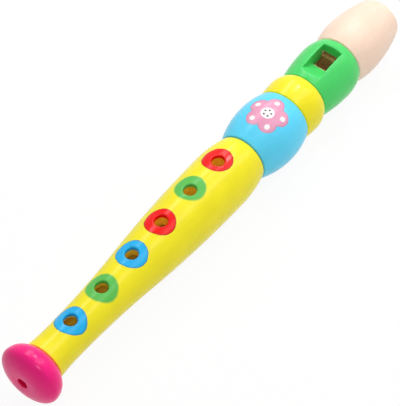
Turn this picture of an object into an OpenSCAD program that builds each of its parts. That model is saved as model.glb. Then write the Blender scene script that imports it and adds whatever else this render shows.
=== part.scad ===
// Toy recorder of turned and painted wood, lying with its finger holes up.
// The bore runs along +X from the foot to the mouthpiece. The origin is the middle of the foot's end face.

/* [Foot cap] */
// Length of the foot cap along the bore
foot_length = 9.6; // [8.5:0.1:11]
// Diameter of the flat face around the vent
foot_face_d = 8; // [6:0.1:12]
// Largest diameter of the foot cap
foot_d = 22.1; // [21:0.1:25]
// Distance of the fullest place from the foot's end face
foot_crest_pos = 4; // [3:0.1:4.6]
// Diameter of the foot cap where it meets the body tube
foot_top_d = 14.6; // [14.2:0.1:15.4]
// Diameter of the vent hole through the foot's end face
foot_hole_d = 3.7; // [2.5:0.1:5]

/* [Body tube] */
// Length of the body tube between the foot cap and the barrel
body_length = 105.2; // [94:0.1:120]
// Diameter of the body tube where it meets the foot cap
body_foot_d = 14.9; // [14.6:0.1:16]
// Diameter of the body tube at its waist
waist_d = 13.8; // [13.2:0.1:14.2]
// Distance of the waist from the foot cap
waist_pos = 9.5; // [7:0.1:12]
// Diameter of the body tube at its fullest
body_d = 22; // [20.5:0.1:23]
// Diameter of the body tube where it meets the barrel
body_top_d = 18.4; // [17.6:0.1:19.5]
// Distance of the fullest place from the barrel
body_crest_back = 12.9; // [10:0.1:18]
// Share of the swelling from the waist to the fullest place that is hollow, the rest is full
hollow_share = 0.43; // [0.35:0.01:0.6]
// Diameter of the bore in the body tube
bore_d = 9; // [8:0.1:9.4]

/* [Finger holes] */
// Number of finger holes
hole_count = 6; // [4:1:6]
// Diameter of a finger hole
hole_d = 4.6; // [3.5:0.1:5.4]
// Distance of the lowest finger hole from the foot cap
hole_first = 14.4; // [12:0.1:18]
// Distance of the highest finger hole from the barrel
hole_back = 13.3; // [8:0.1:18]

/* [Barrel] */
// Length of the barrel
barrel_length = 24; // [23.5:0.1:28]
// Diameter of the barrel where it meets the body tube
barrel_low_d = 18.6; // [17.8:0.1:20]
// Diameter of the barrel at its fullest
barrel_d = 24.9; // [23:0.1:27]
// Distance of the fullest place from the barrel's lower end
barrel_crest_pos = 13.9; // [11:0.1:15]
// Diameter of the barrel where it meets the collar ring
barrel_top_d = 21.4; // [20:0.1:22.5]

/* [Collar ring] */
// Length of the collar ring
ring_length = 11.8; // [9:0.1:14]
// Diameter of the collar ring where it meets the barrel
ring_low_d = 21.3; // [20:0.1:21.8]
// Diameter of the collar ring at its fullest
ring_d = 22.5; // [22:0.1:24.5]
// Distance of the fullest place from the ring's lower end
ring_crest_pos = 6.5; // [4.5:0.1:7.5]
// Diameter of the collar ring where it meets the head
ring_top_d = 19.3; // [18.6:0.1:20.5]

/* [Head] */
// Length of the head between the collar ring and the mouthpiece
head_length = 21.5; // [20:0.1:26]
// Diameter of the head where it meets the collar ring
head_low_d = 19.3; // [18.6:0.1:20.5]
// Diameter of the head at its fullest
head_d = 22.8; // [21.8:0.1:24.5]
// Distance of the fullest place from the head's lower end
head_crest_pos = 14.6; // [11:0.1:17]
// Diameter of the head where it meets the mouthpiece
head_top_d = 20; // [19:0.1:21]
// Diameter of the bore in the head and the barrel, below the window
head_bore_d = 10.4; // [9.6:0.1:10.6]
// Turn of the head from the line of finger holes, in degrees
head_set = 5.5; // [-12:0.5:12]

/* [Window and windway] */
// Width of the window
window_w = 7.5; // [5.5:0.1:8]
// Distance of the sounding edge from the head's lower end
edge_pos = 11; // [9.5:0.1:12]
// Height of the sounding edge over the bore axis
edge_height = 5.5; // [5.4:0.1:5.9]
// Slope of the ramp down to the sounding edge, in degrees
ramp_angle = 29.5; // [28:0.5:45]
// Length of the open mouth from the sounding edge to the windway
mouth_length = 6.2; // [4.5:0.1:7]
// Width of the windway
windway_w = 6.6; // [5.5:0.1:7]
// Height of the windway over the block
windway_height = 1.4; // [0.8:0.1:1.6]

/* [Mouthpiece] */
// Length of the mouthpiece
mouthpiece_length = 27.9; // [25:0.1:34]
// Diameter of the mouthpiece where it meets the head
mouthpiece_low_d = 19.9; // [19:0.1:21]
// Diameter of the mouthpiece at its fullest
mouthpiece_d = 22.9; // [21.6:0.1:24.5]
// Distance of the fullest place from the mouthpiece's lower end
mouthpiece_crest_pos = 8.8; // [7:0.1:11]
// Diameter of the mouthpiece at its tip
tip_d = 16.5; // [16.2:0.1:19]
// Radius of the round edge at the tip
tip_round = 1; // [0.6:0.1:1.4]

/* [Block] */
// Diameter of the wooden block that floors the windway
block_d = 13.4; // [12.9:0.1:13.8]
// Height of the block's flat over the bore axis
block_flat = 5.5; // [5:0.1:5.7]
// Bevel on the block's edge at the window
block_bevel = 0.7; // [0.3:0.1:1.2]
// Length of the block that stands into the mouth, past the windway
block_proud = 0.6; // [0:0.1:1]
// Depth of the block's end inside the mouthpiece tip
block_recess = 0.6; // [0.2:0.1:2]

/* [Tenons] */
// Diameter of the body tube's tenon in the foot cap
foot_tenon_d = 12.6; // [12.2:0.1:12.9]
// Length of the body tube's tenon in the foot cap
foot_tenon_length = 6.2; // [5.5:0.1:6.6]
// Diameter of the body tube's tenon in the barrel
top_tenon_d = 14; // [13:0.1:14.8]
// Length of the body tube's tenon in the barrel
top_tenon_length = 12; // [9:0.1:12.2]
// Diameter of the head's tenon in the collar ring and the barrel
head_tenon_d = 15.8; // [15.2:0.1:16.2]
// Depth that the head's tenon reaches into the barrel
head_tenon_reach = 9; // [7:0.1:9.2]
// Diameter of the head's spigot in the mouthpiece
spigot_d = 17.4; // [17.2:0.1:17.8]
// Length of the head's spigot in the mouthpiece
spigot_length = 10; // [7:0.1:12]

/* [Cork sleeves] */
// Length of a cork sleeve
cork_length = 4; // [2.5:0.1:4.5]
// Depth of the groove that a cork sleeve sits in
cork_depth = 0.6; // [0.4:0.05:0.7]

/* [Fits] */
// Gap on the radius between a tenon and its socket
tenon_gap = 0.1; // [0.05:0.01:0.1]
// Gap on the radius between a cork sleeve and its socket
cork_gap = 0.03; // [0.02:0.01:0.05]
// Gap between two pieces that part at a seam
seam_gap = 0.1; // [0.05:0.05:0.2]
// Room past a tenon's end in its socket
socket_room = 0.4; // [0.2:0.1:0.5]

/* [Hidden] */
// Facets of a turned piece, and of the long arcs of its outline
$fn = 96;
arc_fn = 1440;
// Overlap of a cutting shape past the face that it cuts
eps = 1;
// Steps of the quarter ellipse from the foot's face to its fullest place
foot_steps = 16;
// Depth of the tip round's middle inside the end face and the outline, as a share of its radius
tip_share = 0.985;
// Places along the bore where one piece ends and the next begins
body_x = foot_length;
barrel_x = body_x + body_length;
ring_x = barrel_x + barrel_length;
head_x = ring_x + ring_length;
mouthpiece_x = head_x + head_length;
tip_x = mouthpiece_x + mouthpiece_length;
// Parts of the head, measured from its lower end
wall_pos = edge_pos + mouth_length;
block_pos = wall_pos - block_proud;
head_tenon_length = ring_length + head_tenon_reach;
windway_roof = block_flat + windway_height;
block_bore_d = block_d + 2 * tenon_gap;
// Outline of the body tube: an arc to the waist, a hollow arc, a full arc and an arc to the barrel
body_steps = 48;
body_crest_pos = body_length - body_crest_back;
swell_pos = waist_pos + hollow_share * (body_crest_pos - waist_pos);
swell_r = arc_r(body_crest_pos - waist_pos, (body_d - waist_d) / 2);
low_r = arc_r(waist_pos, (body_foot_d - waist_d) / 2);
top_r = arc_r(body_crest_back, (body_d - body_top_d) / 2);
// Distance from one finger hole to the next
hole_pitch = (body_length - hole_first - hole_back) / (hole_count - 1);

// Radius of an arc that is level at one end and falls by drop over run, rounded so that two arcs meet exactly
function arc_r(run, drop) = round(50 * (run * run + drop * drop) / drop) / 100;

// Drop of such an arc over run
function arc_drop(run, r) = r - sqrt(r * r - run * run);

// Radius of the body tube's outside at a place along it
function body_r(pos) =
    pos < waist_pos ? waist_d / 2 + arc_drop(waist_pos - pos, low_r)
    : pos < swell_pos ? waist_d / 2 + arc_drop(pos - waist_pos, hollow_share * swell_r)
    : pos < body_crest_pos ? body_d / 2 - arc_drop(body_crest_pos - pos, (1 - hollow_share) * swell_r)
    : body_d / 2 - arc_drop(pos - body_crest_pos, top_r);

// A turned solid along +X from its half outline, drawn as radius and place along the bore
module turned(x) {
    translate([x, 0, 0]) rotate([0, 90, 0]) rotate_extrude() children();
}

// Outline of a full stretch, an arc that is level at the crest, over a core
module full_side(from, to, crest_pos, crest_d, r) {
    core_r = crest_d / 2 - arc_drop(to - from, r) - eps;
    translate([0, from]) square([core_r, to - from]);
    intersection() {
        translate([0, from]) square([crest_d / 2 + eps, to - from]);
        translate([crest_d / 2 - r, crest_pos]) circle(r = r, $fn = arc_fn);
    }
}

// Outline of a turned bead with its fullest place anywhere along it
module bead(length, crest_pos, low_d, crest_d, top_d) {
    full_side(0, crest_pos, crest_pos, crest_d, arc_r(crest_pos, (crest_d - low_d) / 2));
    full_side(crest_pos, length, crest_pos, crest_d, arc_r(length - crest_pos, (crest_d - top_d) / 2));
}

// Outline of a plain stretch of a given diameter, also for bores
module stretch(from, to, d) {
    translate([0, from]) square([d / 2, to - from]);
}

// Outline of the groove for a cork sleeve, in the middle of a tenon
module cork_groove(middle, d) {
    translate([d / 2 - cork_depth, middle - cork_length / 2]) square([cork_depth + eps, cork_length]);
}

// A cork sleeve in its groove, a little proud of the tenon
module cork(x, d) {
    floor_r = d / 2 - cork_depth;
    color("burlywood") turned(x - cork_length / 2)
        translate([floor_r, 0]) square([cork_depth + tenon_gap - cork_gap, cork_length]);
}

// Outline of the foot cap: a flat face, a quarter of an ellipse to the crest, and an arc to the seam
module foot_outline() {
    face_r = foot_face_d / 2;
    rise = foot_d / 2 - face_r;
    turns = [for (i = [0 : foot_steps]) 90 * i / foot_steps];
    polygon([[0, 0], for (turn = turns) [face_r + rise * sin(turn), foot_crest_pos * (1 - cos(turn))],
             [0, foot_crest_pos]]);
    full_side(foot_crest_pos, foot_length, foot_crest_pos, foot_d,
              arc_r(foot_length - foot_crest_pos, (foot_d - foot_top_d) / 2));
}

module foot_cap() {
    socket_pos = foot_length - foot_tenon_length - socket_room;
    color("deeppink") turned(0) difference() {
        foot_outline();
        stretch(-eps, foot_length, foot_hole_d);
        stretch(socket_pos, foot_length + eps, foot_tenon_d + 2 * tenon_gap);
        stretch(foot_length - seam_gap, foot_length + eps, foot_d);
    }
}

module foot_cork() {
    cork(body_x - foot_tenon_length / 2, foot_tenon_d);
}

module body_tube() {
    steps = [for (i = [0 : body_steps]) body_length * i / body_steps];
    color("gold") difference() {
        turned(body_x) difference() {
            union() {
                polygon([[0, 0], for (pos = steps) [body_r(pos), pos], [0, body_length]]);
                stretch(-foot_tenon_length, 0, foot_tenon_d);
                stretch(body_length, body_length + top_tenon_length, top_tenon_d);
            }
            stretch(-foot_tenon_length - eps, body_length + top_tenon_length + eps, bore_d);
            cork_groove(-foot_tenon_length / 2, foot_tenon_d);
            cork_groove(body_length + top_tenon_length / 2, top_tenon_d);
        }
        for (i = [0 : hole_count - 1])
            translate([body_x + hole_first + i * hole_pitch, 0, 0]) cylinder(d = hole_d, h = body_d);
    }
}

module body_cork() {
    cork(barrel_x + top_tenon_length / 2, top_tenon_d);
}

module barrel() {
    lower_depth = top_tenon_length + socket_room;
    upper_depth = head_tenon_reach + socket_room;
    color("deepskyblue") turned(barrel_x) difference() {
        bead(barrel_length, barrel_crest_pos, barrel_low_d, barrel_d, barrel_top_d);
        stretch(-eps, barrel_length + eps, head_bore_d);
        stretch(-eps, seam_gap, barrel_d);
        stretch(-eps, lower_depth, top_tenon_d + 2 * tenon_gap);
        stretch(barrel_length - upper_depth, barrel_length + eps, head_tenon_d + 2 * tenon_gap);
    }
}

module collar_ring() {
    color("yellow") turned(ring_x) difference() {
        bead(ring_length, ring_crest_pos, ring_low_d, ring_d, ring_top_d);
        stretch(-eps, seam_gap, ring_d);
        stretch(-eps, ring_length + eps, head_tenon_d);
    }
}

// Ramp down to the sounding edge, and the open mouth beyond it
module window_cut() {
    top = head_d / 2 + eps;
    ramp_run = (top - edge_height) / tan(ramp_angle);
    translate([head_x + edge_pos, 0, 0]) rotate([90, 0, 0])
        linear_extrude(height = window_w, center = true)
            polygon([[0, 0], [mouth_length, 0], [mouth_length, top], [-ramp_run, top], [0, edge_height]]);
}

// Groove in the roof of the block's bore, from one place along the bore to another
module windway_cut(from, to) {
    translate([from, -windway_w / 2, 0]) cube([to - from, windway_w, windway_roof]);
}

module head() {
    top = head_length + spigot_length;
    color("limegreen") rotate([head_set, 0, 0]) difference() {
        turned(head_x) difference() {
            union() {
                stretch(-head_tenon_length, 0, head_tenon_d);
                bead(head_length, head_crest_pos, head_low_d, head_d, head_top_d);
                stretch(head_length, top, spigot_d);
            }
            stretch(-head_tenon_length - eps, top, head_bore_d);
            stretch(block_pos, top + eps, block_bore_d);
            cork_groove(-head_tenon_length + head_tenon_reach / 2, head_tenon_d);
            cork_groove(head_length + spigot_length / 2, spigot_d);
        }
        window_cut();
        windway_cut(head_x + wall_pos - eps, head_x + top + eps);
    }
}

module head_cork() {
    cork(head_x - head_tenon_length + head_tenon_reach / 2, head_tenon_d);
}

module spigot_cork() {
    cork(mouthpiece_x + spigot_length / 2, spigot_d);
}

module mouthpiece() {
    color("bisque") rotate([head_set, 0, 0]) difference() {
        turned(mouthpiece_x) difference() {
            bead(mouthpiece_length, mouthpiece_crest_pos, mouthpiece_low_d, mouthpiece_d, tip_d);
            stretch(-eps, seam_gap, mouthpiece_d);
            stretch(-eps, spigot_length + socket_room, spigot_d + 2 * tenon_gap);
            stretch(0, mouthpiece_length + eps, block_d);
            tip_corner();
        }
        windway_cut(mouthpiece_x + seam_gap, tip_x + eps);
    }
}

// What is turned away to round the mouthpiece's tip
module tip_corner() {
    r = arc_r(mouthpiece_length - mouthpiece_crest_pos, (mouthpiece_d - tip_d) / 2);
    inset = tip_share * tip_round;
    reach = r - inset;
    run = mouthpiece_length - inset - mouthpiece_crest_pos;
    translate([mouthpiece_d / 2 - r + sqrt(reach * reach - run * run), mouthpiece_length - inset])
        difference() {
            translate([0, inset * run / reach]) square(tip_round + eps);
            circle(r = tip_round);
        }
}

module block() {
    from = head_x + block_pos + seam_gap;
    length = tip_x - block_recess - from;
    color("tan") rotate([head_set, 0, 0]) difference() {
        turned(from) stretch(0, length, block_d);
        translate([from - eps, -block_d / 2, block_flat]) cube([length + 2 * eps, block_d, block_d]);
        translate([from, 0, block_flat]) rotate([0, 45, 0])
            cube([block_bevel * sqrt(2), block_d, block_bevel * sqrt(2)], center = true);
    }
}

foot_cap();
foot_cork();
body_tube();
body_cork();
barrel();
collar_ring();
head();
head_cork();
spigot_cork();
mouthpiece();
block();
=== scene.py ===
import itertools
import math

import bpy
import numpy as np
from mathutils import Matrix, Vector


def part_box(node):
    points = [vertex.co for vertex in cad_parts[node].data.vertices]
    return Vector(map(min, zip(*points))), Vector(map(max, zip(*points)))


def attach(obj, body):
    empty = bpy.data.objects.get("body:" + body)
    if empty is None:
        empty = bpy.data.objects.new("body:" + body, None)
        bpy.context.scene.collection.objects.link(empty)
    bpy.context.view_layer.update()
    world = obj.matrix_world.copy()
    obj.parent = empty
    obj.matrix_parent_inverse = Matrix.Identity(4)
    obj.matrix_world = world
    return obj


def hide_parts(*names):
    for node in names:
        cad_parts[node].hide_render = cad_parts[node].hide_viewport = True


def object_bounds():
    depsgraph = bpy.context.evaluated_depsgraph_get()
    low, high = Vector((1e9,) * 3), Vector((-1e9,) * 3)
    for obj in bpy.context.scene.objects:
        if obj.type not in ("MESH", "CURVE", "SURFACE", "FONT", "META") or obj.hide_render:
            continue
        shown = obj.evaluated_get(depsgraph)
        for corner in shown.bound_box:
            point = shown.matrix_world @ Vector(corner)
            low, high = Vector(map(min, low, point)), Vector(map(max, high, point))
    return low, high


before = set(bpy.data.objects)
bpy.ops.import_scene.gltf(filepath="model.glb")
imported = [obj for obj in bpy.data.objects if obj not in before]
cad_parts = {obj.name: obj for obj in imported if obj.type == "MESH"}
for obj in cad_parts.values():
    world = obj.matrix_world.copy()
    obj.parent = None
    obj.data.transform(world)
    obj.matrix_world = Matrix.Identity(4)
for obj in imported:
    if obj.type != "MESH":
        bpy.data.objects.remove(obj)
cad_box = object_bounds()

MM = 0.001

# Driving dimensions of the turned pieces, in millimetres and degrees
FOOT_FACE_D = 8.0
FOOT_D = 22.1
FOOT_CREST = 4.0
FOOT_TOP_D = 14.6
FOOT_HOLE_D = 3.7
FOOT_FLOOR = 3.0
BODY_FOOT_D = 14.9
WAIST_D = 13.8
WAIST_POS = 9.5
BODY_D = 22.0
BODY_TOP_D = 18.4
BODY_CREST_BACK = 12.9
HOLLOW_SHARE = 0.43
BORE_D = 9.0
HOLE_COUNT = 6
HOLE_D = 4.6
HOLE_FIRST = 14.4
HOLE_BACK = 13.3
BARREL_LOW_D = 18.6
BARREL_D = 24.9
BARREL_CREST = 13.9
BARREL_TOP_D = 21.4
BARREL_LOW_SOCKET = 12.4
BARREL_TOP_SOCKET = 9.4
RING_LOW_D = 21.3
RING_D = 22.5
RING_CREST = 6.5
RING_TOP_D = 19.3
HEAD_LENGTH = 21.5
HEAD_LOW_D = 19.3
HEAD_D = 22.8
HEAD_CREST = 14.6
HEAD_TOP_D = 20.0
HEAD_BORE_D = 10.4
HEAD_SET = 5.5
WINDOW_W = 7.5
EDGE_POS = 11.0
EDGE_HEIGHT = 5.5
RAMP_ANGLE = 29.5
MOUTH_LENGTH = 6.2
WINDWAY_W = 6.6
WINDWAY_ROOF = 6.9
MOUTHPIECE_LOW_D = 19.9
MOUTHPIECE_D = 22.9
MOUTHPIECE_CREST = 8.8
TIP_D = 16.5
TIP_ROUND = 1.0
BLOCK_D = 13.4
BLOCK_PROUD = 0.6
FOOT_TENON_D = 12.6
TOP_TENON_D = 14.0
HEAD_TENON_D = 15.8
SPIGOT_D = 17.4
SPIGOT_SOCKET = 10.4
CORK_DEPTH = 0.6
TENON_GAP = 0.1
SEAM_GAP = 0.1

# How far shapes that are joined run into each other
OVERLAP = 1.0

# Soft edges, which sanding and the thickness of the lacquer leave
SEAM_ROUND = 0.45
VENT_ROUND = 0.3
HOLE_ROUND = 0.55
BORE_ROUND = 0.15
WINDOW_ROUND = 0.6
WINDOW_FILLET = 0.15
WINDWAY_ROUND = 0.3

# Paint: its depth in a hole, the width of the painted shade at a seam, how far the painted reflection of
# the foot's pink reaches onto the tube, the bare rim of the slot, the worn sounding edge, and how softly
# the paint ends at bare wood
PAINT_DEPTH = 1.3
SHADE_LINE_WIDTH = 0.35
PINK_REFLECTION_REACH = 0.8
SLOT_RIM = 0.5
EDGE_WEAR = 0.45
BARE_SOFT = 0.06

# Painted rounds: their size, how they rise at the edge, how far each is off its hole along and across,
# how softly they end, and where the dark rim of a brushed one begins and is full, inwards from its edge
PATCH_R = 5.35
PATCH_THICKNESS = 0.04
PATCH_RISE = 0.3
PATCH_ALONG = (0.0, -0.1, 0.0, -0.4, 0.8, 0.4)
PATCH_ACROSS = (0.0, -0.15, 0.0, 0.15, 0.5, 0.6)
SPRAYED_SOFT = 0.4
BRUSHED_SOFT = 0.1
RIM_START = 0.5
RIM_FULL = 0.1

# The print on the barrel: its place, and the flower's petals, their spots, its heart and the dots there
PRINT_X = 127.8
PRINT_TURN = 7.0
PETAL_COUNT = 5
PETAL_R = 3.4
PETAL_OUT = 4.5
PETAL_LINE = 0.3
SPOT_R = PETAL_R / 3.5
SPOT_OUT = PETAL_OUT + PETAL_R / 3
HEART_R = 2.4
DOT_R = 0.4
DOT_OUT = HEART_R * 0.55
PRINT_SOFT = 0.09
LINE_SOFT = 0.15
SPOT_SOFT = 0.25
HEART_SOFT = 0.1

# Meshes: the grid's margins in steps, the first not whole so that grid planes seldom lie on a shape's own,
# the rounds that move points onto the surface, and the least square of a slope that a round divides by
GRID_BEFORE = 1.53
GRID_AFTER = 2
SETTLE_ROUNDS = 4
LEAST_SQUARE = 0.05


def span(node):
    """Where a CAD node begins and ends along the bore, in millimetres."""
    low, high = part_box(node)
    return low.x / MM, high.x / MM


# Places along the bore, in millimetres, read from the frame and worked out from it
FOOT_X, FOOT_END = span("foot_cap")
BODY_LOW, BODY_HIGH = span("body_tube")
BARREL_X, RING_SEAM = span("barrel")
RING_X, HEAD_X = span("collar_ring")
HEAD_LOW, HEAD_HIGH = span("head")
MOUTHPIECE_X, TIP_X = span("mouthpiece")
BODY_X = FOOT_END + SEAM_GAP
BARREL_SEAM = BARREL_X - SEAM_GAP
MOUTHPIECE_SEAM = MOUTHPIECE_X - SEAM_GAP
HOLE_X = BODY_X + HOLE_FIRST
HOLE_PITCH = (BARREL_SEAM - HOLE_BACK - HOLE_X) / (HOLE_COUNT - 1)
EDGE_X = HEAD_X + EDGE_POS
WALL_X = EDGE_X + MOUTH_LENGTH


def srgb(red, green, blue):
    """A colour as it is seen, in 0 to 255, as the linear values that a shader takes."""
    def linear(value):
        share = value / 255
        return share / 12.92 if share <= 0.04045 else ((share + 0.055) / 1.055) ** 2.4
    return linear(red), linear(green), linear(blue), 1.0


def darker(colour, share):
    """A colour with that share of its light."""
    red, green, blue, alpha = colour
    return red * share, green * share, blue * share, alpha


# Shapes as fields: negative inside, zero on the surface, in millimetres
def arc_r(run, drop):
    """Radius of an arc that is level at one end and falls by drop over run."""
    return (run * run + drop * drop) / (2 * drop)


def both(a, b, radius=0.0):
    """What lies in a and in b, with the edge between them rounded."""
    if radius == 0:
        return np.maximum(a, b)
    over = np.hypot(np.maximum(a + radius, 0), np.maximum(b + radius, 0))
    return np.minimum(np.maximum(a, b), -radius) + over


def without(a, b, radius=0.0):
    """What lies in a and not in b."""
    return both(a, -b, radius)


def between(x, start, end):
    """The slab between two places along the bore."""
    return np.maximum(start - x, x - end)


def bar(x, rho, start, end, diameter):
    """A round bar along the bore."""
    return np.maximum(rho - diameter / 2, between(x, start, end))


def bead(x, rho, start, length, crest, low_d, crest_d, top_d):
    """The outside of a turned bead with its fullest place anywhere along it."""
    low = arc_r(crest, (crest_d - low_d) / 2)
    top = arc_r(length - crest, (crest_d - top_d) / 2)
    along = x - start - crest
    radius = np.where(along < 0, low, top)
    return np.hypot(along, rho - crest_d / 2 + radius) - radius


def cork_groove(x, rho, node, tenon_d):
    """The groove that a cork sleeve sits in."""
    start, end = span(node)
    return np.maximum(between(x, start, end), tenon_d / 2 - CORK_DEPTH - rho)


def foot_outline(x, rho):
    """The outside of the foot cap: a flat face, an ellipse to the crest and an arc to the seam."""
    face_r = FOOT_FACE_D / 2
    squeeze = FOOT_CREST / (FOOT_D / 2 - face_r)
    top_r = arc_r(BODY_X - FOOT_CREST, (FOOT_D - FOOT_TOP_D) / 2)
    along = x - FOOT_CREST
    low = np.hypot(along, squeeze * np.maximum(rho - face_r, 0)) - FOOT_CREST
    top = np.hypot(along, np.maximum(rho - FOOT_D / 2 + top_r, 0)) - top_r
    return np.where(along < 0, low, top)


def foot_field(x, y, z):
    """The foot cap, with its vent and its socket."""
    rho = np.hypot(y, z)
    solid = np.maximum(foot_outline(x, rho), x - FOOT_END)
    solid = without(solid, rho - FOOT_HOLE_D / 2, VENT_ROUND)
    return without(solid, bar(x, rho, FOOT_FLOOR, TIP_X, FOOT_TENON_D + 2 * TENON_GAP), BORE_ROUND)


def foot_bare(x, y, z):
    """Positive where the foot cap's wood is bare, in its socket."""
    socket_r = FOOT_TENON_D / 2 + TENON_GAP
    return np.minimum(socket_r + TENON_GAP - np.hypot(y, z), x - FOOT_FLOOR + TENON_GAP)


def body_outline(x, rho):
    """The outside of the body tube: a waist, a hollow sweep, a full sweep and the fall to the barrel."""
    along = x - BODY_X
    crest = BARREL_SEAM - BODY_X - BODY_CREST_BACK
    swell_r = arc_r(crest - WAIST_POS, (BODY_D - WAIST_D) / 2)
    swell = WAIST_POS + HOLLOW_SHARE * (crest - WAIST_POS)
    low_r = arc_r(WAIST_POS, (BODY_FOOT_D - WAIST_D) / 2)
    top_r = arc_r(BODY_CREST_BACK, (BODY_D - BODY_TOP_D) / 2)
    hollow_r = np.where(along < WAIST_POS, low_r, HOLLOW_SHARE * swell_r)
    full_r = np.where(along < crest, (1 - HOLLOW_SHARE) * swell_r, top_r)
    hollow = hollow_r - np.hypot(along - WAIST_POS, rho - WAIST_D / 2 - hollow_r)
    full = np.hypot(along - crest, rho - BODY_D / 2 + full_r) - full_r
    return np.where(along < swell, hollow, full)


def hole_distance(x, y, along=(0.0,) * HOLE_COUNT, across=(0.0,) * HOLE_COUNT):
    """Distance from the axis of the nearest finger hole, or from a place set off from it."""
    number = np.clip(np.round((x - HOLE_X) / HOLE_PITCH), 0, HOLE_COUNT - 1).astype(int)
    middle = HOLE_X + number * HOLE_PITCH + np.take(along, number)
    return np.hypot(x - middle, y - np.take(across, number))


def body_field(x, y, z):
    """The body tube, with its tenons, its bore, its finger holes and the raised paint round them."""
    rho = np.hypot(y, z)
    distance = hole_distance(x, y)
    reach = PATCH_R - hole_distance(x, y, PATCH_ALONG, PATCH_ACROSS)
    paint = np.clip(reach / PATCH_RISE, 0, 1) * (z > 0)
    outline = body_outline(x, rho) - PATCH_THICKNESS * paint
    solid = both(outline, between(x, BODY_X, BARREL_SEAM), SEAM_ROUND)
    solid = np.minimum(solid, bar(x, rho, BODY_LOW, BODY_X + OVERLAP, FOOT_TENON_D))
    solid = np.minimum(solid, bar(x, rho, BARREL_SEAM - OVERLAP, BODY_HIGH, TOP_TENON_D))
    solid = without(solid, cork_groove(x, rho, "foot_cork", FOOT_TENON_D))
    solid = without(solid, cork_groove(x, rho, "body_cork", TOP_TENON_D))
    solid = without(solid, rho - BORE_D / 2, BORE_ROUND)
    return without(solid, np.maximum(distance - HOLE_D / 2, -z), HOLE_ROUND)


def body_bare(x, y, z):
    """Positive where the body tube's wood is bare: on its tenons, in its bore and deep in its holes."""
    depth = -body_outline(x, np.hypot(y, z))
    return np.maximum(depth - PAINT_DEPTH, between(x, BODY_X, BARREL_SEAM))


def barrel_outline(x, rho):
    """The outside of the barrel."""
    length = RING_SEAM - BARREL_SEAM
    return bead(x, rho, BARREL_SEAM, length, BARREL_CREST, BARREL_LOW_D, BARREL_D, BARREL_TOP_D)


def barrel_field(x, y, z):
    """The barrel, with a bore and a socket at each end."""
    rho = np.hypot(y, z)
    solid = both(barrel_outline(x, rho), between(x, BARREL_X, RING_SEAM), SEAM_ROUND)
    solid = without(solid, rho - HEAD_BORE_D / 2)
    low_end = BARREL_SEAM + BARREL_LOW_SOCKET
    solid = without(solid, bar(x, rho, 0, low_end, TOP_TENON_D + 2 * TENON_GAP), BORE_ROUND)
    top_start = RING_SEAM - BARREL_TOP_SOCKET
    return without(solid, bar(x, rho, top_start, TIP_X, HEAD_TENON_D + 2 * TENON_GAP), BORE_ROUND)


def barrel_bare(x, y, z):
    """Positive where the barrel's wood is bare, in its sockets and bore."""
    return -barrel_outline(x, np.hypot(y, z)) - PAINT_DEPTH


def ring_outline(x, rho):
    """The outside of the collar ring."""
    return bead(x, rho, RING_SEAM, HEAD_X - RING_SEAM, RING_CREST, RING_LOW_D, RING_D, RING_TOP_D)


def ring_field(x, y, z):
    """The collar ring, which sits on the head's tenon."""
    rho = np.hypot(y, z)
    solid = both(ring_outline(x, rho), between(x, RING_X, HEAD_X), SEAM_ROUND)
    return without(solid, rho - HEAD_TENON_D / 2, BORE_ROUND)


def ring_bare(x, y, z):
    """Positive where the ring's wood is bare, on its inside."""
    return -ring_outline(x, np.hypot(y, z)) - PAINT_DEPTH


def set_head(y, z):
    """Across and up in the head's own frame, which is turned from the line of finger holes."""
    turn = math.radians(HEAD_SET)
    return y * math.cos(turn) + z * math.sin(turn), z * math.cos(turn) - y * math.sin(turn)


def windway(across, up):
    """The air's way over the block, at any place along the bore."""
    return np.maximum(np.abs(across) - WINDWAY_W / 2, np.maximum(up - WINDWAY_ROOF, -up))


def window(x, across, up):
    """The ramp down to the sounding edge, and the open mouth beyond it."""
    slope = math.radians(RAMP_ANGLE)
    over_ramp = (up - EDGE_HEIGHT) * math.cos(slope) - (EDGE_X - x) * math.sin(slope)
    floor_side = np.maximum(np.minimum(-over_ramp, EDGE_X - x), -up)
    sides = both(np.abs(across) - WINDOW_W / 2, x - WALL_X, WINDOW_FILLET)
    return both(sides, floor_side, WINDOW_FILLET)


def head_field(x, y, z):
    """The head, with its window, tenon, spigot, bore and windway."""
    rho = np.hypot(y, z)
    across, up = set_head(y, z)
    outline = bead(x, rho, HEAD_X, HEAD_LENGTH, HEAD_CREST, HEAD_LOW_D, HEAD_D, HEAD_TOP_D)
    solid = both(outline, between(x, HEAD_X, HEAD_X + HEAD_LENGTH), SEAM_ROUND)
    solid = without(solid, window(x, across, up), WINDOW_ROUND)
    solid = np.minimum(solid, bar(x, rho, HEAD_LOW, HEAD_X + OVERLAP, HEAD_TENON_D))
    solid = np.minimum(solid, bar(x, rho, MOUTHPIECE_SEAM - OVERLAP, HEAD_HIGH, SPIGOT_D))
    solid = without(solid, cork_groove(x, rho, "head_cork", HEAD_TENON_D))
    solid = without(solid, cork_groove(x, rho, "spigot_cork", SPIGOT_D))
    wide = np.maximum(rho - BLOCK_D / 2 - TENON_GAP, WALL_X - BLOCK_PROUD - x)
    solid = without(solid, np.minimum(rho - HEAD_BORE_D / 2, wide), BORE_ROUND)
    return without(solid, np.maximum(windway(across, up), WALL_X - OVERLAP - x), WINDWAY_ROUND)


def head_bare(x, y, z):
    """Positive where the head's wood is bare: its bore, windway and sounding edge, its tenon and spigot."""
    across, up = set_head(y, z)
    bore = HEAD_BORE_D / 2 + BORE_ROUND - np.hypot(y, z)
    slot = np.minimum(SLOT_RIM - windway(across, up), x - WALL_X + WINDWAY_ROUND)
    edge = np.minimum(x - EDGE_X, EDGE_HEIGHT - up) + EDGE_WEAR
    edge = np.minimum(edge, np.minimum(WINDOW_W / 2 - WINDOW_FILLET - np.abs(across), up))
    bare = np.maximum(bore, np.maximum(slot, edge))
    return np.maximum(bare, between(x, HEAD_X, MOUTHPIECE_SEAM))


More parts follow.
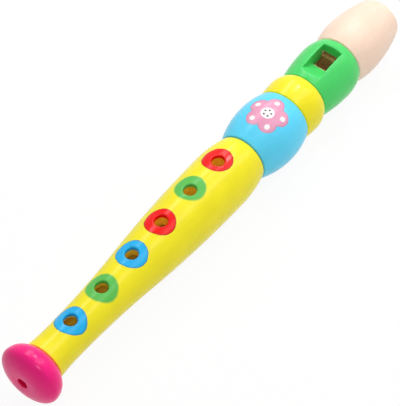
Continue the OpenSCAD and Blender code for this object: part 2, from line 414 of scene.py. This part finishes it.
def mouthpiece_field(x, y, z):
    """The mouthpiece, with its socket, the block's bore and the windway over it."""
    rho = np.hypot(y, z)
    length = TIP_X - MOUTHPIECE_SEAM
    outline = bead(x, rho, MOUTHPIECE_SEAM, length, MOUTHPIECE_CREST, MOUTHPIECE_LOW_D, MOUTHPIECE_D, TIP_D)
    solid = both(outline, x - TIP_X, TIP_ROUND)
    solid = both(solid, MOUTHPIECE_X - x, SEAM_ROUND)
    socket_end = MOUTHPIECE_SEAM + SPIGOT_SOCKET
    solid = without(solid, bar(x, rho, 0, socket_end, SPIGOT_D + 2 * TENON_GAP), BORE_ROUND)
    solid = without(solid, rho - BLOCK_D / 2)
    return without(solid, windway(*set_head(y, z)), BORE_ROUND)


# Meshes from fields
def gradient(field, points, reach=0.01):
    """The field's slope at each point."""
    slopes = []
    for axis in range(3):
        shift = np.zeros(3)
        shift[axis] = reach
        ahead = field(*(points + shift).T)
        behind = field(*(points - shift).T)
        slopes.append((ahead - behind) / (2 * reach))
    return np.stack(slopes, axis=1)


def crossings(values, corners):
    """Middle of the places where a cell's edges cross the surface, for each cell."""
    total = np.zeros((len(values), 3))
    number = np.zeros(len(values))
    for first, second in itertools.combinations(range(len(corners)), 2):
        if np.abs(corners[first] - corners[second]).sum() != 1:
            continue
        a, b = values[:, first], values[:, second]
        cross = (a < 0) != (b < 0)
        share = a[cross] / (a[cross] - b[cross])
        total[cross] += corners[first] + share[:, None] * (corners[second] - corners[first])
        number[cross] += 1
    return total / number[:, None]


def quads(inside, cell):
    """A quad of neighbouring cells round each grid edge that crosses the surface."""
    found = []
    for axis in range(3):
        order = (axis, (axis + 1) % 3, (axis + 2) % 3)
        solid = inside.transpose(order)
        cells = cell.transpose(order)
        edge = solid[:-1, 1:-1, 1:-1] != solid[1:, 1:-1, 1:-1]
        i, j, k = np.nonzero(edge)
        ring = (cells[i, j, k], cells[i, j + 1, k], cells[i, j + 1, k + 1], cells[i, j, k + 1])
        quad = np.stack(ring, axis=1)
        outward = solid[i, j + 1, k + 1]
        quad[~outward] = quad[~outward, ::-1]
        found.append(quad)
    return np.concatenate(found)


def field_points(field, node, step):
    """Points and quads of a field's surface, within a CAD node's box."""
    low, high = (np.array(corner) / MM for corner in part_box(node))
    axes = [np.arange(a - GRID_BEFORE * step, b + GRID_AFTER * step, step) for a, b in zip(low, high)]
    across, up = np.meshgrid(axes[1], axes[2], indexing="ij")
    values = np.stack([field(np.full_like(across, x), across, up) for x in axes[0]])
    inside = values < 0
    corners = np.array(list(itertools.product((0, 1), repeat=3)))
    counts = np.array(values.shape) - 1
    views = [tuple(slice(c, c + n) for c, n in zip(corner, counts)) for corner in corners]
    filled = sum(inside[view].astype(np.int8) for view in views)
    mixed = (filled > 0) & (filled < len(corners))
    cell = np.full(mixed.shape, -1)
    cell[mixed] = np.arange(mixed.sum())
    start = crossings(np.stack([values[view][mixed] for view in views], axis=1), corners)
    origin = np.array([axis[0] for axis in axes])
    return origin + (np.argwhere(mixed) + start) * step, quads(inside, cell)


def settle(field, points, step):
    """Points moved onto the field's surface, and the surface's normals there."""
    for _ in range(SETTLE_ROUNDS):
        slope = gradient(field, points)
        size = np.maximum((slope * slope).sum(axis=1), LEAST_SQUARE)
        move = -(field(*points.T) / size)[:, None] * slope
        points = points + np.clip(move, -step / 2, step / 2)
    slope = gradient(field, points)
    return points, slope / np.linalg.norm(slope, axis=1, keepdims=True)


def field_mesh(name, field, bare, node, step):
    """A closed smooth mesh of a field, as a new object, with its bare wood marked."""
    points, faces = field_points(field, node, step)
    points, normals = settle(field, points, step)
    mesh = bpy.data.meshes.new(name)
    mesh.vertices.add(len(points))
    mesh.vertices.foreach_set("co", (points * MM).astype(np.float32).ravel())
    mesh.loops.add(faces.size)
    mesh.loops.foreach_set("vertex_index", faces.ravel().astype(np.int32))
    mesh.polygons.add(len(faces))
    mesh.polygons.foreach_set("loop_start", np.arange(0, faces.size, 4, dtype=np.int32))
    mesh.update(calc_edges=True)
    mesh.polygons.foreach_set("use_smooth", np.ones(len(faces), bool))
    mesh.normals_split_custom_set_from_vertices(normals.tolist())
    if bare:
        mark = mesh.attributes.new("bare", "FLOAT", "POINT")
        mark.data.foreach_set("value", bare(*points.T).astype(np.float32))
    made = bpy.data.objects.new(name, mesh)
    bpy.context.scene.collection.objects.link(made)
    return made


# Materials
class Graph:
    """A material's nodes, with short ways to add them. Places are in millimetres."""

    def __init__(self, name):
        self.material = bpy.data.materials.new(name)
        self.material.use_nodes = True
        self.tree = self.material.node_tree
        self.shader = self.tree.nodes["Principled BSDF"]
        coordinates = self.node("ShaderNodeTexCoord")
        scale = self.node("ShaderNodeVectorMath", operation="SCALE")
        self.link(coordinates.outputs["Object"], scale.inputs[0])
        scale.inputs["Scale"].default_value = 1 / MM
        self.place = scale.outputs[0]
        parts = self.node("ShaderNodeSeparateXYZ")
        self.link(self.place, parts.inputs[0])
        self.x, self.y, self.z = parts.outputs

    def node(self, kind, **settings):
        made = self.tree.nodes.new(kind)
        for key, value in settings.items():
            setattr(made, key, value)
        return made

    def link(self, value, socket):
        if isinstance(value, bpy.types.NodeSocket):
            self.tree.links.new(value, socket)
        else:
            socket.default_value = value

    def math(self, operation, *values):
        made = self.node("ShaderNodeMath", operation=operation)
        for value, socket in zip(values, made.inputs):
            self.link(value, socket)
        return made.outputs[0]

    def length(self, a, b):
        """Length of the line with those two parts at right angles."""
        squares = self.math("ADD", self.math("MULTIPLY", a, a), self.math("MULTIPLY", b, b))
        return self.math("SQRT", squares)

    def ramp(self, value, low, high):
        """0 at low and 1 at high, smooth between them."""
        made = self.node("ShaderNodeMapRange", interpolation_type="SMOOTHSTEP")
        self.link(value, made.inputs["Value"])
        self.link(low, made.inputs["From Min"])
        self.link(high, made.inputs["From Max"])
        return made.outputs["Result"]

    def mix(self, share, first, second):
        made = self.node("ShaderNodeMix", data_type="RGBA")
        self.link(share, made.inputs["Factor"])
        self.link(first, made.inputs["A"])
        self.link(second, made.inputs["B"])
        return made.outputs["Result"]

    def noise(self, size, detail=2.0, along=1.0):
        """Noise with features of about that size, drawn out along the bore."""
        stretched = self.node("ShaderNodeVectorMath", operation="MULTIPLY")
        self.link(self.place, stretched.inputs[0])
        stretched.inputs[1].default_value = (1 / (size * along), 1 / size, 1 / size)
        made = self.node("ShaderNodeTexNoise")
        self.link(stretched.outputs[0], made.inputs["Vector"])
        made.inputs["Scale"].default_value = 1
        made.inputs["Detail"].default_value = detail
        return made.outputs["Fac"]

    def wobble(self, size, reach):
        """Noise about zero, for ragged edges."""
        return self.math("MULTIPLY", self.math("SUBTRACT", self.noise(size), 0.5), 2 * reach)

    def vary(self, noise, low, more):
        """low where the noise is 0, and low + more where it is 1."""
        return self.math("ADD", low, self.math("MULTIPLY", noise, more))

    def mark(self, name):
        """A value that the mesh holds at its points."""
        return self.node("ShaderNodeAttribute", attribute_name=name).outputs["Fac"]

    def bump(self, height, distance):
        """Bumps in the surface, of that distance where the height goes from 0 to 1."""
        made = self.node("ShaderNodeBump")
        made.inputs["Distance"].default_value = distance * MM
        self.link(height, made.inputs["Height"])
        self.link(made.outputs[0], self.shader.inputs["Normal"])

    def finish(self, colour, roughness, specular=0.5):
        self.link(colour, self.shader.inputs["Base Color"])
        self.link(roughness, self.shader.inputs["Roughness"])
        self.shader.inputs["Specular IOR Level"].default_value = specular
        return self.material


# Colours, and the share of its light that a colour keeps in uneven lacquer, in the painted shade at a seam,
# in the rim of a brushed round and in the outline of the print
PINK = srgb(255, 28, 132)
# The next colour is painted shade in the foot's vent
VENT_SHADE_PINK = srgb(230, 12, 76)
YELLOW = srgb(251, 236, 38)
BLUE = srgb(98, 219, 255)
GREEN = srgb(80, 218, 110)
# The next colour is a painted reflection of the pink foot on the tube's edge
PAINTED_PINK_REFLECTION = srgb(255, 96, 40)
PATCH_RED = srgb(245, 8, 6)
PATCH_GREEN = srgb(94, 192, 84)
PATCH_BLUE = srgb(36, 180, 240)
PATCH_COLOURS = (PATCH_BLUE, PATCH_GREEN, PATCH_BLUE, PATCH_RED, PATCH_GREEN, PATCH_RED)
PRINT_PINK = srgb(232, 158, 188)
PRINT_WHITE = srgb(250, 246, 246)
PRINT_DARK = srgb(84, 58, 66)
RAW_WOOD = srgb(238, 212, 172)
RAW_GRAIN = srgb(206, 168, 120)
STAINED_WOOD = srgb(255, 214, 62)
STAINED_GRAIN = srgb(252, 184, 32)
PLAIN_WOOD = srgb(251, 223, 203)
PLAIN_RINGS = srgb(249, 218, 195)
PLAIN_GRAIN = srgb(241, 203, 176)
BLOCK_WOOD = srgb(214, 160, 96)
BLOCK_GRAIN = srgb(152, 108, 60)
CORK = srgb(204, 160, 112)
CORK_SPECKS = srgb(140, 96, 58)
UNEVEN_SHADE = 0.9
SEAM_SHADE = 0.7
RIM_SHADE = 0.55
OUTLINE_SHADE = 0.72

# Gloss: the shares of the spray's clouds and streaks in the colour, the share of streaks in the waves,
# the height of the waves in millimetres, and how much the lacquer and the clear coat reflect
CLOUD_SHARE = 0.5
STREAK_SHARE = 0.3
WAVE_STREAKS = 0.4
WAVE_HEIGHT = 0.012
LACQUER_SPECULAR = 0.21
CLEAR_SPECULAR = 0.4

# Wood and cork: the share of fine grain in the plain wood's colour, and the heights in millimetres
# of the plain wood's grain, the block's grain and the cork's specks
FINE_SHARE = 0.35
PLAIN_HEIGHT = 0.008
BLOCK_HEIGHT = 0.03
CORK_HEIGHT = 0.06


def grain(graph, light, dark):
    """Colour of bare wood with its grain along the bore."""
    lines = graph.noise(size=0.7, detail=3.0, along=14)
    return graph.mix(graph.ramp(lines, low=0.35, high=0.7), light, dark)


def lacquer(graph, colour):
    """Colour of a lacquer coat, a little uneven where the spray and the grain show."""
    clouds = graph.ramp(graph.noise(size=9.0), low=0.3, high=0.75)
    streaks = graph.ramp(graph.noise(size=0.8, along=20), low=0.45, high=0.8)
    uneven = graph.vary(streaks, graph.math("MULTIPLY", clouds, CLOUD_SHARE), STREAK_SHARE)
    return graph.mix(uneven, colour, darker(colour, UNEVEN_SHADE))


def painted_seam_shade(graph, coat, colour, start, end):
    """The coat with a line of painted shade along the two seams of a piece, where the parts meet.

    A start or end that is set one line's width beyond the piece leaves that end without a line.
    """
    low = graph.ramp(graph.x, start + SHADE_LINE_WIDTH, start)
    high = graph.ramp(graph.x, end - SHADE_LINE_WIDTH, end)
    return graph.mix(graph.math("MAXIMUM", low, high), coat, darker(colour, SEAM_SHADE))


def gloss(graph, colour):
    """A glossy coat over a colour, with the faint waves of sprayed lacquer."""
    streaks = graph.noise(size=0.5, detail=1.0, along=12)
    graph.bump(graph.vary(streaks, graph.noise(size=1.6), WAVE_STREAKS), WAVE_HEIGHT)
    roughness = graph.vary(graph.noise(size=5.0), low=0.2, more=0.1)
    return graph.finish(colour, roughness, LACQUER_SPECULAR)


def painted(name, colour, start, end, wood, extra=None):
    """Lacquer with more paint on it, where the mesh says that the wood isn't bare."""
    graph = Graph(name)
    coat = lacquer(graph, colour)
    if extra:
        coat = extra(graph, coat)
    # Painted shade: a darker line along the seams
    coat = painted_seam_shade(graph, coat, colour, start, end)
    bare = graph.math("ADD", graph.mark("bare"), graph.wobble(size=1.2, reach=0.15))
    return gloss(graph, graph.mix(graph.ramp(bare, -BARE_SOFT, BARE_SOFT), coat, wood(graph)))


def raw_wood(graph):
    """Colour of the bare wood in sockets and on tenons."""
    return grain(graph, RAW_WOOD, RAW_GRAIN)


def stained_wood(graph):
    """Wood that the yellow lacquer has soaked into, with the tenons past the seams left raw."""
    past_foot = graph.ramp(graph.x, BODY_X - SEAM_GAP, BODY_X + SEAM_GAP)
    before_barrel = graph.ramp(graph.x, BARREL_SEAM + SEAM_GAP, BARREL_SEAM - SEAM_GAP)
    inside = graph.math("MULTIPLY", past_foot, before_barrel)
    return graph.mix(inside, raw_wood(graph), grain(graph, STAINED_WOOD, STAINED_GRAIN))


def vent_painted_shade(graph, coat):
    """Painted shade: deeper pink in the foot's vent, where the recess lies in shade."""
    vent_r = FOOT_HOLE_D / 2
    reach = graph.length(graph.y, graph.z)
    return graph.mix(graph.ramp(reach, vent_r + VENT_ROUND, vent_r), coat, VENT_SHADE_PINK)


def patches(graph, coat):
    """Painted rounds about the finger holes, brushed with a rim or sprayed with a soft edge."""
    uneven = graph.wobble(size=3.0, reach=0.25)
    above = graph.math("GREATER_THAN", graph.z, 0.0)
    for index, colour in enumerate(PATCH_COLOURS):
        sprayed = colour is PATCH_GREEN
        soft = SPRAYED_SOFT if sprayed else BRUSHED_SOFT
        along = graph.math("SUBTRACT", graph.x, HOLE_X + index * HOLE_PITCH + PATCH_ALONG[index])
        across = graph.math("SUBTRACT", graph.y, PATCH_ACROSS[index])
        ragged = graph.math("ADD", graph.length(along, across), uneven)
        cover = graph.math("MULTIPLY", above, graph.ramp(ragged, PATCH_R + soft, PATCH_R - soft))
        rim = graph.ramp(ragged, PATCH_R - RIM_START, PATCH_R - RIM_FULL)
        paint = colour if sprayed else graph.mix(rim, colour, darker(colour, RIM_SHADE))
        coat = graph.mix(cover, coat, paint)
    return coat


def patches_and_pink_reflection(graph, coat):
    """The painted rounds, and a painted reflection of the foot's pink: orange along the tube's edge next to
    it.
    """
    reflection_share = graph.ramp(graph.x, BODY_X + PINK_REFLECTION_REACH, BODY_X)
    return graph.mix(reflection_share, patches(graph, coat), PAINTED_PINK_REFLECTION)


def flower(graph, coat):
    """A round flower printed on the barrel, with a light spot on each petal and dots at its heart."""
    minus_y = graph.math("MULTIPLY", graph.y, -1.0)
    turn = graph.math("SUBTRACT", graph.math("ARCTAN2", minus_y, graph.z), math.radians(PRINT_TURN))
    around = graph.math("MULTIPLY", turn, BARREL_D / 2)
    along = graph.math("SUBTRACT", graph.x, PRINT_X)
    reach = graph.math("ADD", graph.length(along, around), graph.wobble(size=2.0, reach=0.08))
    bearing = graph.math("ARCTAN2", around, along)
    sector = 2 * math.pi / PETAL_COUNT
    nearest = graph.math("ROUND", graph.math("DIVIDE", bearing, sector))
    folded = graph.math("SUBTRACT", bearing, graph.math("MULTIPLY", nearest, sector))
    out = graph.math("MULTIPLY", reach, graph.math("COSINE", folded))
    side = graph.math("MULTIPLY", reach, graph.math("SINE", folded))

    def spot(place, radius, soft):
        """Cover of a spot at that distance from the flower's middle, on each petal."""
        distance = graph.length(graph.math("SUBTRACT", out, place), side)
        return graph.ramp(distance, radius + soft, radius - soft)

    heart = graph.ramp(reach, HEART_R + HEART_SOFT, HEART_R - HEART_SOFT)
    coat = graph.mix(spot(PETAL_OUT, PETAL_R, PRINT_SOFT), coat, darker(PRINT_PINK, OUTLINE_SHADE))
    coat = graph.mix(spot(PETAL_OUT, PETAL_R - PETAL_LINE, LINE_SOFT), coat, PRINT_PINK)
    coat = graph.mix(spot(SPOT_OUT, SPOT_R, SPOT_SOFT), coat, PRINT_WHITE)
    coat = graph.mix(heart, coat, PRINT_WHITE)
    return graph.mix(spot(DOT_OUT, DOT_R, PRINT_SOFT), coat, PRINT_DARK)


def plain_wood():
    """Pale wood with fine grain under a clear coat."""
    graph = Graph("plain_wood")
    fine = graph.ramp(graph.noise(size=0.35, detail=4.0, along=18), low=0.35, high=0.75)
    rings = graph.ramp(graph.noise(size=3.0, along=9), low=0.3, high=0.7)
    colour = graph.mix(rings, PLAIN_WOOD, PLAIN_RINGS)
    colour = graph.mix(graph.math("MULTIPLY", fine, FINE_SHARE), colour, PLAIN_GRAIN)
    graph.bump(fine, PLAIN_HEIGHT)
    return graph.finish(colour, graph.vary(fine, low=0.34, more=0.12), CLEAR_SPECULAR)


def block_wood():
    """Bare brown wood."""
    graph = Graph("block_wood")
    graph.bump(graph.noise(size=0.6, detail=3.0, along=10), BLOCK_HEIGHT)
    roughness = graph.vary(graph.noise(size=0.8), low=0.55, more=0.2)
    return graph.finish(grain(graph, BLOCK_WOOD, BLOCK_GRAIN), roughness)


def cork():
    """Matt cork with dark specks."""
    graph = Graph("cork")
    specks = graph.noise(size=0.6, detail=3.0)
    graph.bump(specks, CORK_HEIGHT)
    colour = graph.mix(graph.ramp(specks, low=0.5, high=0.7), CORK, CORK_SPECKS)
    return graph.finish(colour, graph.vary(specks, low=0.7, more=0.25))


# Turned pieces: node, shape, bare wood, body, slot, mesh step in millimetres, and material
PIECES = (
    ("foot_cap", foot_field, foot_bare, "foot_section", "pink_lacquer", 0.25,
     painted("pink_lacquer", PINK, FOOT_X - SHADE_LINE_WIDTH, FOOT_END, raw_wood, vent_painted_shade)),
    ("body_tube", body_field, body_bare, "body_section", "yellow_lacquer", 0.4,
     painted("yellow_lacquer", YELLOW, BODY_X - SHADE_LINE_WIDTH, BARREL_SEAM, stained_wood, patches_and_pink_reflection)),
    ("barrel", barrel_field, barrel_bare, "barrel_section", "blue_lacquer", 0.3,
     painted("blue_lacquer", BLUE, BARREL_X, RING_SEAM + SHADE_LINE_WIDTH, raw_wood, flower)),
    ("collar_ring", ring_field, ring_bare, "head_section", "yellow_lacquer", 0.3,
     painted("ring_lacquer", YELLOW, RING_X - SHADE_LINE_WIDTH, HEAD_X, raw_wood)),
    ("head", head_field, head_bare, "head_section", "green_lacquer", 0.27,
     painted("green_lacquer", GREEN, HEAD_X, MOUTHPIECE_SEAM, raw_wood)),
    ("mouthpiece", mouthpiece_field, None, "mouthpiece_section", "plain_wood", 0.3, plain_wood()),
)
for node, field, bare, body, slot, step, look in PIECES:
    piece = field_mesh("turned_" + node, field, bare, node, step)
    piece.data.materials.append(look)
    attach(piece, body)
    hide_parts(node)

# The block and the cork sleeves keep their CAD shapes
cork_look = cork()
looks = {"block": block_wood(), "foot_cork": cork_look, "body_cork": cork_look,
         "head_cork": cork_look, "spigot_cork": cork_look}
for node, look in looks.items():
    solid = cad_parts[node]
    solid.data.materials.clear()
    solid.data.materials.append(look)

# Floor, light and camera, with lengths in metres. Each lamp has a name, the way to it from the object's
# middle, its distance, its length, which lies along the bore as seen from above, its width, and its watts
FLOOR_SIZE = 4.0
FLOOR_GREY = 0.9
FLOOR_ROUGHNESS = 0.9
FLOOR_WHITE_SHARE = 0.93
SKY_LIGHT = 0.25
MIDDLE = Vector((TIP_X / 2 * MM, 0, 0))
LAMPS = (
    ("key", (0.5, 0.515, 0.857), 0.55, 0.5, 0.1, 1.15),
    ("top", (0.5, -0.33, 0.857), 0.55, 0.6, 0.18, 1.15),
    ("end", (0.466, 0.075, 0.61), 0.77, 0.08, 0.08, 1.4),
    ("fill", (-0.479, -0.428, 0.767), 0.9, 0.1, 0.1, 1.5),
)
CAMERA_PLACE = Vector((-195.73, -239.33, 431.12)) * MM
CAMERA_LOOK = Vector((0.502, 0.4193, -0.7565)).normalized()
CAMERA_UP = Vector((0.619, 0.4367, 0.6528))
FOCAL_PX = 1700
IMAGE_W_PX = 400
SENSOR_W_MM = 36
CLIP_START = 0.01


def seen_directly(nodes, links):
    """1 for rays that show the background itself: from the camera, in gloss and through glass."""
    path = nodes.new("ShaderNodeLightPath")
    total = path.outputs["Is Camera Ray"]
    for kind in ("Is Glossy Ray", "Is Transmission Ray"):
        either = nodes.new("ShaderNodeMath")
        either.operation = "MAXIMUM"
        links.new(total, either.inputs[0])
        links.new(path.outputs[kind], either.inputs[1])
        total = either.outputs[0]
    return total


def white_floor():
    """Pale floor that looks white and keeps a part of the object's shadow."""
    material = bpy.data.materials.new("floor")
    material.use_nodes = True
    nodes, links = material.node_tree.nodes, material.node_tree.links
    matt = nodes["Principled BSDF"]
    matt.inputs["Base Color"].default_value = (FLOOR_GREY, FLOOR_GREY, FLOOR_GREY, 1)
    matt.inputs["Roughness"].default_value = FLOOR_ROUGHNESS
    matt.inputs["Specular IOR Level"].default_value = 0.0
    white = nodes.new("ShaderNodeEmission")
    share = nodes.new("ShaderNodeMath")
    share.operation = "MULTIPLY"
    share.inputs[1].default_value = FLOOR_WHITE_SHARE
    links.new(seen_directly(nodes, links), share.inputs[0])
    blend = nodes.new("ShaderNodeMixShader")
    links.new(share.outputs[0], blend.inputs[0])
    links.new(matt.outputs[0], blend.inputs[1])
    links.new(white.outputs[0], blend.inputs[2])
    links.new(blend.outputs[0], nodes["Material Output"].inputs["Surface"])
    return material


def studio_world():
    """Even light from all round, and a white background."""
    world = bpy.data.worlds.new("studio")
    world.use_nodes = True
    nodes, links = world.node_tree.nodes, world.node_tree.links
    sky = nodes["Background"]
    sky.inputs["Color"].default_value = (1, 1, 1, 1)
    level = nodes.new("ShaderNodeMapRange")
    level.inputs["To Min"].default_value = SKY_LIGHT
    level.inputs["To Max"].default_value = 1.0
    links.new(seen_directly(nodes, links), level.inputs["Value"])
    links.new(level.outputs["Result"], sky.inputs["Strength"])
    return world


def facing(place, forward, upward):
    """Matrix of a lamp or camera at a place that looks forward, with its top towards upward."""
    right = forward.cross(upward).normalized()
    top = right.cross(forward)
    return Matrix.Translation(place) @ Matrix((right, top, -forward)).transposed().to_4x4()


def softbox(name, towards, distance, length, width, power):
    """A rectangular lamp that faces the middle of the object."""
    lamp = bpy.data.lights.new(name, "AREA")
    lamp.shape = "RECTANGLE"
    lamp.size = length
    lamp.size_y = width
    lamp.energy = power
    made = bpy.data.objects.new(name, lamp)
    bpy.context.scene.collection.objects.link(made)
    towards = Vector(towards).normalized()
    made.matrix_world = facing(MIDDLE + towards * distance, -towards, Vector((0, 1, 0)))


bpy.ops.mesh.primitive_plane_add(size=FLOOR_SIZE, location=(MIDDLE.x, 0, cad_box[0].z))
floor = bpy.context.object
floor.name = "floor"
floor.data.materials.append(white_floor())
bpy.context.scene.world = studio_world()
for settings in LAMPS:
    softbox(*settings)

camera_data = bpy.data.cameras.new("camera")
camera_data.sensor_fit = "HORIZONTAL"
camera_data.sensor_width = SENSOR_W_MM
camera_data.lens = SENSOR_W_MM * FOCAL_PX / IMAGE_W_PX
camera_data.clip_start = CLIP_START
camera = bpy.data.objects.new("camera", camera_data)
bpy.context.scene.collection.objects.link(camera)
camera.matrix_world = facing(CAMERA_PLACE, CAMERA_LOOK, CAMERA_UP)
bpy.context.scene.camera = camera
bpy.context.scene.view_settings.view_transform = "Standard"
